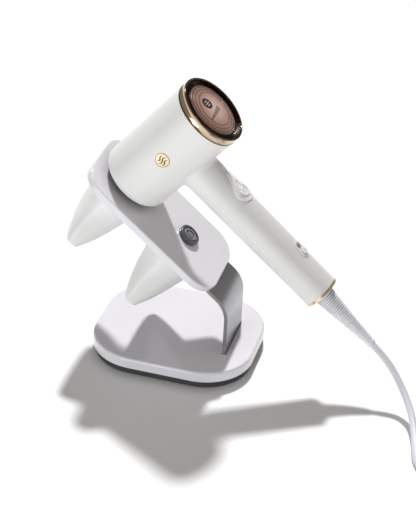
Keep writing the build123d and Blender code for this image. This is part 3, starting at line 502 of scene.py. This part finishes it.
def nurbs(name, points, thickness, shader, resolution=6):
    """A round NURBS cord through control points in millimetres."""
    data = bpy.data.curves.new(name, "CURVE")
    data.dimensions = "3D"
    data.bevel_depth = thickness / 2
    data.bevel_resolution = 5
    data.use_fill_caps = True
    line = data.splines.new("NURBS")
    line.points.add(len(points) - 1)
    for target, point in zip(line.points, points):
        target.co = (*(point * MM), 1.0)
    line.order_u = 3
    line.use_endpoint_u = True
    line.resolution_u = resolution
    line.use_smooth = True
    data.materials.append(shader.material)
    piece = bpy.data.objects.new(name, data)
    bpy.context.scene.collection.objects.link(piece)
    return piece


CORD_D = 7.0
cord = nurbs("power_cord", route, CORD_D * MM, cord_pvc)
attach(cord, "dryer")
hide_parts("cord_tube", "cord_coil", "cord_tail")

# the tie: a flat strap round the coil's section, with a lapped end
TIE_LOW, TIE_HIGH = 0.1, 31.2
TIE_HALF_WIDTH = 6.0
TIE_EDGE = 0.4
TIE_STEPS = 40
tie_centre = COIL + Vector((0, sum(COLUMNS) / 2, (TIE_LOW + TIE_HIGH) / 2))
tie_rings = []
for i in range(TIE_STEPS + 5):
    angle = 2 * math.pi * i / TIE_STEPS + math.radians(150)
    lap = max(0.0, (i - TIE_STEPS + 2) / 6.0)
    c, s = math.cos(angle), math.sin(angle)
    out = Vector((0, math.copysign(abs(c) ** 0.5, c), math.copysign(abs(s) ** 0.5, s)))
    inner = Vector((0, out.y * (7.3 + lap), out.z * (14.5 + 0.6 * lap)))
    outer = Vector((0, out.y * (8.4 + lap), out.z * (15.5 + 0.6 * lap)))
    ring = [
        tie_centre + inner + Vector((-TIE_HALF_WIDTH, 0, 0)),
        tie_centre + outer + Vector((-TIE_HALF_WIDTH + TIE_EDGE, 0, 0)),
        tie_centre + outer + Vector((TIE_HALF_WIDTH - TIE_EDGE, 0, 0)),
        tie_centre + inner + Vector((TIE_HALF_WIDTH, 0, 0)),
    ]
    tie_rings.append([p * MM for p in ring])
points, faces = skin(tie_rings)
tie = new_mesh("coil_tie", points, faces, grey_plastic, "dryer")
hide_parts("cord_tie")

# the plug: ribbed neck, waisted grip and flat face
PLUG_X = 383.0
PLUG_NECK_Y = -4.0
PLUG_Z = 13.0
PLUG_STATIONS = [
    (0.0, 4.3, 4.3, 2.0),
    (0.6, 4.8, 4.8, 2.0),
    (2.4, 4.9, 4.9, 2.0),
    (2.7, 4.2, 4.2, 2.0),
    (3.9, 4.2, 4.2, 2.0),
    (4.2, 5.6, 5.6, 2.0),
    (6.0, 5.8, 5.8, 2.0),
    (6.3, 5.0, 5.0, 2.0),
    (7.5, 5.0, 5.0, 2.0),
    (7.8, 6.6, 6.6, 2.0),
    (9.6, 6.9, 6.9, 2.0),
    (9.9, 6.0, 6.0, 2.0),
    (11.1, 6.2, 6.2, 2.0),
    (11.6, 8.4, 8.0, 2.2),
    (13.5, 12.2, 10.6, 2.6),
    (17.0, 14.6, 12.0, 3.2),
    (22.0, 14.9, 12.2, 3.6),
    (30.0, 13.9, 11.2, 3.6),
    (38.0, 14.3, 11.6, 3.8),
    (45.0, 16.2, 12.7, 4.4),
    (49.0, 16.9, 12.9, 5.0),
    (54.8, 16.9, 12.9, 5.0),
    (55.6, 16.4, 12.4, 5.0),
    (56.0, 15.6, 11.6, 5.0),
]
plug_rings = []
for y, half_x, half_z, power in PLUG_STATIONS:
    centre = Vector((PLUG_X, PLUG_NECK_Y + y, PLUG_Z)) * MM
    plug_rings.append(
        squircle_ring(
            centre, Vector((1, 0, 0)), Vector((0, 0, -1)), half_x * MM, half_z * MM, power, 56
        )
    )
points, faces = skin(plug_rings)
plug = new_mesh("plug_housing", points, faces, relief_pvc, "dryer")
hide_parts("plug_body")

GRIP_RIBS = 5
GRIP_FROM = 24.0
GRIP_PITCH = 3.2
GRIP_HALF = 8.0
GRIP_SKIN = 11.35
for k in range(GRIP_RIBS):
    for side in (-1, 1):
        y = PLUG_NECK_Y + GRIP_FROM + GRIP_PITCH * k
        rings = []
        for i in range(9):
            t = i / 8
            x = PLUG_X - GRIP_HALF + 2 * GRIP_HALF * t
            swell = math.sin(math.pi * t) ** 0.4
            z_out = GRIP_SKIN + 0.75 * swell
            centre = Vector((x, y, PLUG_Z + side * z_out)) * MM
            rings.append(
                circle_ring(
                    centre, Vector((0, 1, 0)), Vector((0, 0, 1)), (0.25 + 0.55 * swell) * MM, 10
                )
            )
        points, faces = skin(rings)
        rib = new_mesh(
            f"plug_rib_{k}_{'low' if side < 0 else 'high'}",
            points,
            faces,
            relief_pvc,
            "dryer",
        )

# ---------------------------------------------------------------- switch shutter

# a thin plate rides under the bezel with the knob and closes the slot behind it
SHUTTER_AT = 161.0
SHUTTER_HALF = (11.0, 3.9)
shutter_rings = []
for grow, height in ((-0.3, 15.1), (0.0, 15.2), (0.0, 15.7), (-0.2, 15.8)):
    centre = HANDLE_AT + (HANDLE_DIR * SHUTTER_AT + NORMAL * height) * MM
    half_x, half_y = ((half + grow) * MM for half in SHUTTER_HALF)
    shutter_rings.append(squircle_ring(centre, HANDLE_DIR, SIDE, half_x, half_y, 6.0, 48))
points, faces = skin(shutter_rings)
new_mesh("switch_shutter", points, faces, relief_pvc, "switch_knob")

# ---------------------------------------------------------------- speed button

# the cap: radius and height over the handle's axis, from its foot to the dished middle
BUTTON_AT = 77.8
BUTTON_PROFILE = [
    (6.6, 14.2),
    (7.0, 14.4),
    (7.0, 20.2),
    (6.85, 20.55),
    (6.4, 20.7),
    (5.6, 20.68),
    (4.2, 20.5),
    (4.0, 20.15),
    (3.6, 20.1),
    (3.3, 20.35),
    (1.8, 20.2),
    (0.3, 20.15),
]
button_rings = []
for radius, height in BUTTON_PROFILE:
    centre = HANDLE_AT + (HANDLE_DIR * BUTTON_AT + NORMAL * height) * MM
    button_rings.append(circle_ring(centre, HANDLE_DIR, SIDE, radius * MM, 64))
points, faces = skin(button_rings)
button = new_mesh("button_cap", points, faces, button_white, "speed_button")
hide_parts("speed_button")

# ---------------------------------------------------------------- badge and display marks

BADGE_FACE = 36.25
STROKE_TOP = 36.52
RIM_STEPS = 72
RIM_PROFILE = ((6.7, BADGE_FACE), (6.8, 36.5), (7.15, 36.5), (7.3, BADGE_FACE))


def on_barrel(u, v, radius):
    """A point on the barrel's near side: u round it from the badge, v along it, millimetres."""
    angle = u / radius
    out = HANDLE_DIR * math.sin(angle) - SIDE * math.cos(angle)
    return HANDLE_AT + NORMAL * v * MM + out * radius * MM


def barrel_stroke(name, path, width, shader):
    """A thin raised stroke laid on the badge."""
    rings = []
    for i, (u, v) in enumerate(path):
        nxt = path[min(i + 1, len(path) - 1)]
        prv = path[max(i - 1, 0)]
        du, dv = nxt[0] - prv[0], nxt[1] - prv[1]
        length = math.hypot(du, dv)
        nu, nv = -dv / length, du / length
        half = width / 2 * (0.35 + 0.65 * math.sin(math.pi * (i + 0.6) / (len(path) + 0.2)))
        rings.append(
            [
                on_barrel(u - nu * half, v - nv * half, BADGE_FACE),
                on_barrel(u - nu * half * 0.7, v - nv * half * 0.7, STROKE_TOP),
                on_barrel(u + nu * half * 0.7, v + nv * half * 0.7, STROKE_TOP),
                on_barrel(u + nu * half, v + nv * half, BADGE_FACE),
            ]
        )
    points, faces = skin(rings)
    return new_mesh(name, points, faces, shader, "dryer")


for k, (rise, swing) in enumerate(((-3.0, 3.6), (0.0, 5.0), (3.0, 3.6))):
    path = []
    for i in range(15):
        t = i / 14
        path.append((rise + 1.1 * math.sin(2 * math.pi * t), -swing + 2 * swing * t))
    barrel_stroke(f"badge_wave_{k}", path, 1.5, engraved)
rings = []
for i in range(RIM_STEPS):
    angle = 2 * math.pi * i / RIM_STEPS
    a, b = math.cos(angle), math.sin(angle)
    rings.append([on_barrel(a * r, b * r, height) for r, height in RIM_PROFILE])
points, faces = skin(rings, closed=True)
new_mesh("badge_rim", points, faces, engraved, "dryer")

# the display's marks are thin printed films on the dome
DOME_TOP = 126.2
DOME_R = 28.0
DOME_RISE = 3.4
SPHERE_R = (DOME_R**2 + DOME_RISE**2) / (2 * DOME_RISE)
FILM_DEPTH = 0.06


def on_dome(x, y, lift):
    """A point on the display's dome: x along the handle's direction, y across, millimetres."""
    height = DOME_TOP - SPHERE_R + math.sqrt(SPHERE_R**2 - x * x - y * y) + lift
    return FRONT_DOCK + (HANDLE_DIR * x + SIDE * y + NORMAL * height) * MM


def film(name, outline_points, shader, lift=0.03):
    """A flat mark on the dome, built as a thin closed sheet from its outline."""
    rings = []
    cx = sum(p[0] for p in outline_points) / len(outline_points)
    cy = sum(p[1] for p in outline_points) / len(outline_points)
    under = lift - FILM_DEPTH
    steps = ((0.02, lift), (0.35, lift), (0.7, lift), (1.0, lift), (1.0, under), (0.02, under))
    for scale, z in steps:
        rings.append(
            [
                on_dome(cx + (x - cx) * scale, cy + (y - cy) * scale, z)
                for x, y in outline_points
            ]
        )
    points, faces = skin(rings)
    return new_mesh(name, points, faces, shader, "dryer")


def disc_outline(cx, cy, radius, count=40):
    """A small round mark."""
    return [
        (
            cx + radius * math.cos(2 * math.pi * i / count),
            cy + radius * math.sin(2 * math.pi * i / count),
        )
        for i in range(count)
    ]


def bar_outline(cx, cy, length_x, length_y, count=32):
    """A small round-ended bar."""
    outline_points = []
    for i in range(count):
        angle = 2 * math.pi * (i + 0.5) / count
        c, s = math.cos(angle), math.sin(angle)
        outline_points.append(
            (
                cx + math.copysign(abs(c) ** 0.5, c) * length_x / 2,
                cy + math.copysign(abs(s) ** 0.5, s) * length_y / 2,
            )
        )
    return outline_points


MARK_AT = (-8.6, -4.0)
film("display_mark", disc_outline(*MARK_AT, 6.0), dark_gloss)
for k, (dx, length) in enumerate(((-2.4, 5.0), (0.0, 7.6), (2.4, 5.0))):
    bar = bar_outline(MARK_AT[0] + dx, MARK_AT[1], 1.2, length)
    film(f"display_mark_bar_{k}", bar, lens, 0.08)
for k in range(7):
    height = 2.4 + 0.55 * k
    film(
        f"display_level_{k}",
        bar_outline(5.2 - height / 2, -16.0 + 3.3 * k, height, 1.7),
        dark_gloss,
    )
# a small white dot for the display's lamp, coloured as its painted highlight
film("display_lamp_highlight", disc_outline(2.9, 19.9, 0.8, 24), button_white)

# ---------------------------------------------------------------- stage, light and camera

FLOOR_HALF = 40
floor_shader = Shader("floor", (0.92, 0.92, 0.92), 0.6)
floor_shader.vary_colour(0.01, 3.0)
floor_shader.vary_roughness(0.05, 8.0)
floor_mesh = bpy.data.meshes.new("floor")
floor_signs = ((-1, -1), (1, -1), (1, 1), (-1, 1))
floor_corners = [(FLOOR_HALF * x, FLOOR_HALF * y, 0) for x, y in floor_signs]
floor_mesh.from_pydata(floor_corners, [], [(0, 1, 2, 3)])
floor_mesh.materials.append(floor_shader.material)
floor = bpy.data.objects.new("floor", floor_mesh)
bpy.context.scene.collection.objects.link(floor)

# a pale dome far behind the floor, seen by the camera only, so it adds no light
backdrop_shader = Shader("backdrop", (0.0, 0.0, 0.0), 1.0)
backdrop_shader.bsdf.inputs["Emission Color"].default_value = (1.0, 0.995, 0.99, 1.0)
backdrop_shader.bsdf.inputs["Emission Strength"].default_value = 0.93
DOME_SIZE = 24.0
dome_rings = []
for step in range(23):
    rise = math.radians(4.0 * step)
    dome_rings.append(
        circle_ring(
            Vector((0, 0, DOME_SIZE * math.sin(rise))),
            Vector((1, 0, 0)),
            Vector((0, 1, 0)),
            DOME_SIZE * math.cos(rise),
            64,
        )
    )
points, faces = skin(dome_rings, caps=False)
dome_mesh = bpy.data.meshes.new("backdrop")
dome_mesh.from_pydata([tuple(p) for p in points], [], faces)
dome_mesh.materials.append(backdrop_shader.material)
dome = bpy.data.objects.new("backdrop", dome_mesh)
bpy.context.scene.collection.objects.link(dome)
for ray in ("diffuse", "glossy", "transmission", "volume_scatter", "shadow"):
    setattr(dome, f"visible_{ray}", False)

world = bpy.data.worlds.new("studio")
world.use_nodes = True
world.node_tree.nodes["Background"].inputs["Color"].default_value = (1.0, 0.94, 0.905, 1.0)
world.node_tree.nodes["Background"].inputs["Strength"].default_value = 0.26
bpy.context.scene.world = world


def area_light(name, place, target, size, power, colour=(1.0, 1.0, 1.0)):
    """A soft square light that faces its target."""
    data = bpy.data.lights.new(name, "AREA")
    data.size = size
    data.energy = power
    data.color = colour
    lamp = bpy.data.objects.new(name, data)
    lamp.location = place
    lamp.rotation_euler = (Vector(target) - Vector(place)).to_track_quat("-Z", "Y").to_euler()
    bpy.context.scene.collection.objects.link(lamp)
    return lamp


KEY_AZIMUTH = math.radians(13.0)
KEY_ELEVATION = math.radians(58.0)
KEY_DISTANCE = 2.6
KEY_AIM = Vector((0.02, 0.0, 0.12))
key_place = (
    -KEY_DISTANCE * math.cos(KEY_ELEVATION) * math.sin(KEY_AZIMUTH),
    KEY_DISTANCE * math.cos(KEY_ELEVATION) * math.cos(KEY_AZIMUTH),
    KEY_DISTANCE * math.sin(KEY_ELEVATION),
)
key_data = bpy.data.lights.new("key", "SUN")
key_data.energy = 3.0
key_data.angle = math.radians(4.5)
key = bpy.data.objects.new("key", key_data)
key.rotation_euler = (KEY_AIM - Vector(key_place)).to_track_quat("-Z", "Y").to_euler()
bpy.context.scene.collection.objects.link(key)
area_light("fill", (-0.7, -2.4, 0.42), (0.05, 0.0, 0.17), 1.3, 30, (0.95, 0.98, 1.0))
bpy.context.scene.view_settings.view_transform = "Standard"

IMAGE_WIDTH = 416
FOCAL_PIXELS = 1788.627
camera_data = bpy.data.cameras.new("camera")
camera_data.sensor_fit = "HORIZONTAL"
camera_data.sensor_width = 36.0
camera_data.lens = FOCAL_PIXELS / IMAGE_WIDTH * camera_data.sensor_width
camera_data.clip_end = 100.0
camera = bpy.data.objects.new("camera", camera_data)
RIGHT = Vector((0.9609363, 0.2729641, 0.0457394))
DOWN = Vector((0.1840051, -0.5066264, -0.8423015))
FORWARD = Vector((-0.2067452, 0.8178143, -0.5370625))
camera.matrix_world = Matrix.Translation(Vector((0.392968, -1.450825, 1.059447))) @ (
    Matrix((RIGHT, -DOWN, -FORWARD)).transposed().to_4x4()
)
bpy.context.scene.collection.objects.link(camera)
bpy.context.scene.camera = camera

bpy.context.view_layer.update()
